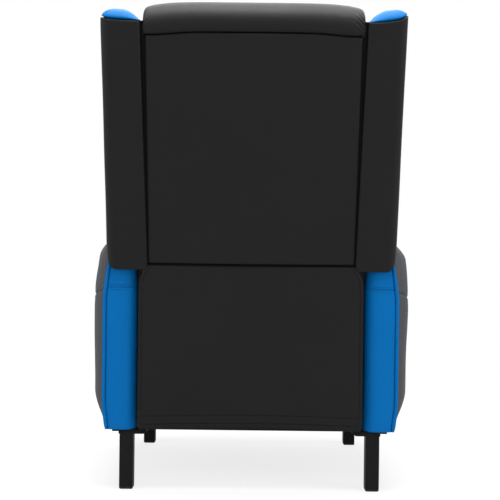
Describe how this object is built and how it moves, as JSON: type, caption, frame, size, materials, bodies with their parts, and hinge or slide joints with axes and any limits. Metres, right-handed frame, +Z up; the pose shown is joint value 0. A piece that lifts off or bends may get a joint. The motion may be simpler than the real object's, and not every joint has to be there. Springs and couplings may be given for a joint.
{
  "type": "gaming recliner",
  "caption": "High-backed push-back recliner with side wings, padded arms, a hanging rear cover, a fold-out footrest and short straight legs.",
  "frame": {"origin": "centre of the chair's bounding box on the floor plane, with the back upright and the footrest closed", "axes": "+Z up, -Y towards the front where the sitter's feet go, +X towards the sitter's left"},
  "size_m": [0.674, 0.774, 1.0244],
  "materials": {
    "steel": "black powder coat",
    "zinc_links": "zinc plated pressed steel",
    "spring_wire": "drawn spring wire",
    "glide_plastic": "moulded, matt",
    "arm_plywood": "unfinished plywood",
    "blue_leather": "coated fabric with fine grain, bright blue",
    "grey_leather": "coated fabric with fine grain, mid grey",
    "black_leather": "coated fabric with fine grain, black, soft sheen",
    "cover_cloth": "thin black lining cloth"
  },
  "bodies": {
    "base": {"rear_leg_left": "steel", "rear_leg_right": "steel", "rear_glide_left": "glide_plastic", "rear_glide_right": "glide_plastic", "front_leg_left": "steel", "front_leg_right": "steel", "front_glide_left": "glide_plastic", "front_glide_right": "glide_plastic", "base_rail_left": "steel", "base_rail_right": "steel", "front_cross_tube": "steel", "rear_cross_tube": "steel", "arm_frame_left": "arm_plywood", "arm_frame_right": "arm_plywood", "arm_top_pad_left": "blue_leather", "arm_top_pad_right": "blue_leather", "arm_rear_facing_left": "blue_leather", "arm_rear_facing_right": "blue_leather", "arm_front_facing_left": "blue_leather", "arm_front_facing_right": "blue_leather", "arm_outer_panel_left": "grey_leather", "arm_outer_panel_right": "grey_leather", "arm_inner_panel_left": "grey_leather", "arm_inner_panel_right": "grey_leather"},
    "front_links": {"front_swing_link_left": "zinc_links", "front_swing_link_right": "zinc_links"},
    "rear_links": {"rear_swing_link_left": "zinc_links", "rear_swing_link_right": "zinc_links"},
    "seat": {"seat_plate_left": "steel", "seat_plate_right": "steel", "seat_frame": "steel", "seat_spring_1": "spring_wire", "seat_spring_2": "spring_wire", "seat_spring_3": "spring_wire", "seat_spring_4": "spring_wire", "seat_cushion": "black_leather"},
    "main_links": {"main_link_left": "zinc_links", "main_link_right": "zinc_links", "footrest_cross_tube": "steel"},
    "cross_links": {"cross_link_left": "zinc_links", "cross_link_right": "zinc_links"},
    "extension_links": {"extension_link_left": "zinc_links", "extension_link_right": "zinc_links"},
    "footrest": {"footrest_bracket_left": "steel", "footrest_bracket_right": "steel", "footrest_board": "arm_plywood", "footrest_pad": "black_leather"},
    "backrest": {"back_bracket_left": "zinc_links", "back_bracket_right": "zinc_links", "back_frame": "steel", "back_cushion": "black_leather", "back_rear_panel": "black_leather", "wing_cover_left": "black_leather", "wing_cover_right": "black_leather", "wing_pad_left": "blue_leather", "wing_pad_right": "blue_leather"},
    "lower_cover": {"lower_back_cover": "cover_cloth"}
  },
  "joints": [
    {"name": "back_recline", "type": "hinge", "parent": "base", "child": "backrest", "pos_m": [0, 0.18299, 0.355], "axis": [-1, 0, 0], "range_deg": [0, 40]},
    {"name": "front_swing", "type": "hinge", "parent": "base", "child": "front_links", "pos_m": [0, -0.17201, 0.2], "axis": [1, 0, 0], "range_deg": [0, 40]},
    {"name": "rear_swing", "type": "hinge", "parent": "base", "child": "rear_links", "pos_m": [0, 0.10799, 0.2], "axis": [1, 0, 0], "range_deg": [0, 40]},
    {"name": "seat_carry", "type": "hinge", "parent": "rear_links", "child": "seat", "pos_m": [0, 0.13299, 0.2433], "axis": [1, 0, 0], "range_deg": [-40, 0]},
    {"name": "cover_hang", "type": "hinge", "parent": "backrest", "child": "lower_cover", "pos_m": [0, 0.26501, 0.48354], "axis": [-1, 0, 0], "range_deg": [-40, 0]},
    {"name": "footrest_open", "type": "hinge", "parent": "seat", "child": "main_links", "pos_m": [0, -0.29701, 0.275], "axis": [-1, 0, 0], "range_deg": [0, 80]},
    {"name": "cross_turn", "type": "hinge", "parent": "main_links", "child": "cross_links", "pos_m": [0, -0.29701, 0.21], "axis": [-1, 0, 0], "range_deg": [-160, 0]},
    {"name": "extension_turn", "type": "hinge", "parent": "main_links", "child": "extension_links", "pos_m": [0, -0.29701, 0.105], "axis": [-1, 0, 0], "range_deg": [-160, 0]},
    {"name": "footrest_level", "type": "hinge", "parent": "cross_links", "child": "footrest", "pos_m": [0, -0.29701, 0.332], "axis": [-1, 0, 0], "range_deg": [0, 160]}
  ],
  "couplings": [
    {"joint": "front_swing", "follows": "back_recline", "ratio": 1},
    {"joint": "rear_swing", "follows": "back_recline", "ratio": 1},
    {"joint": "seat_carry", "follows": "back_recline", "ratio": -1},
    {"joint": "cover_hang", "follows": "back_recline", "ratio": -1},
    {"joint": "cross_turn", "follows": "footrest_open", "ratio": -2},
    {"joint": "extension_turn", "follows": "footrest_open", "ratio": -2},
    {"joint": "footrest_level", "follows": "footrest_open", "ratio": 2}
  ]
}
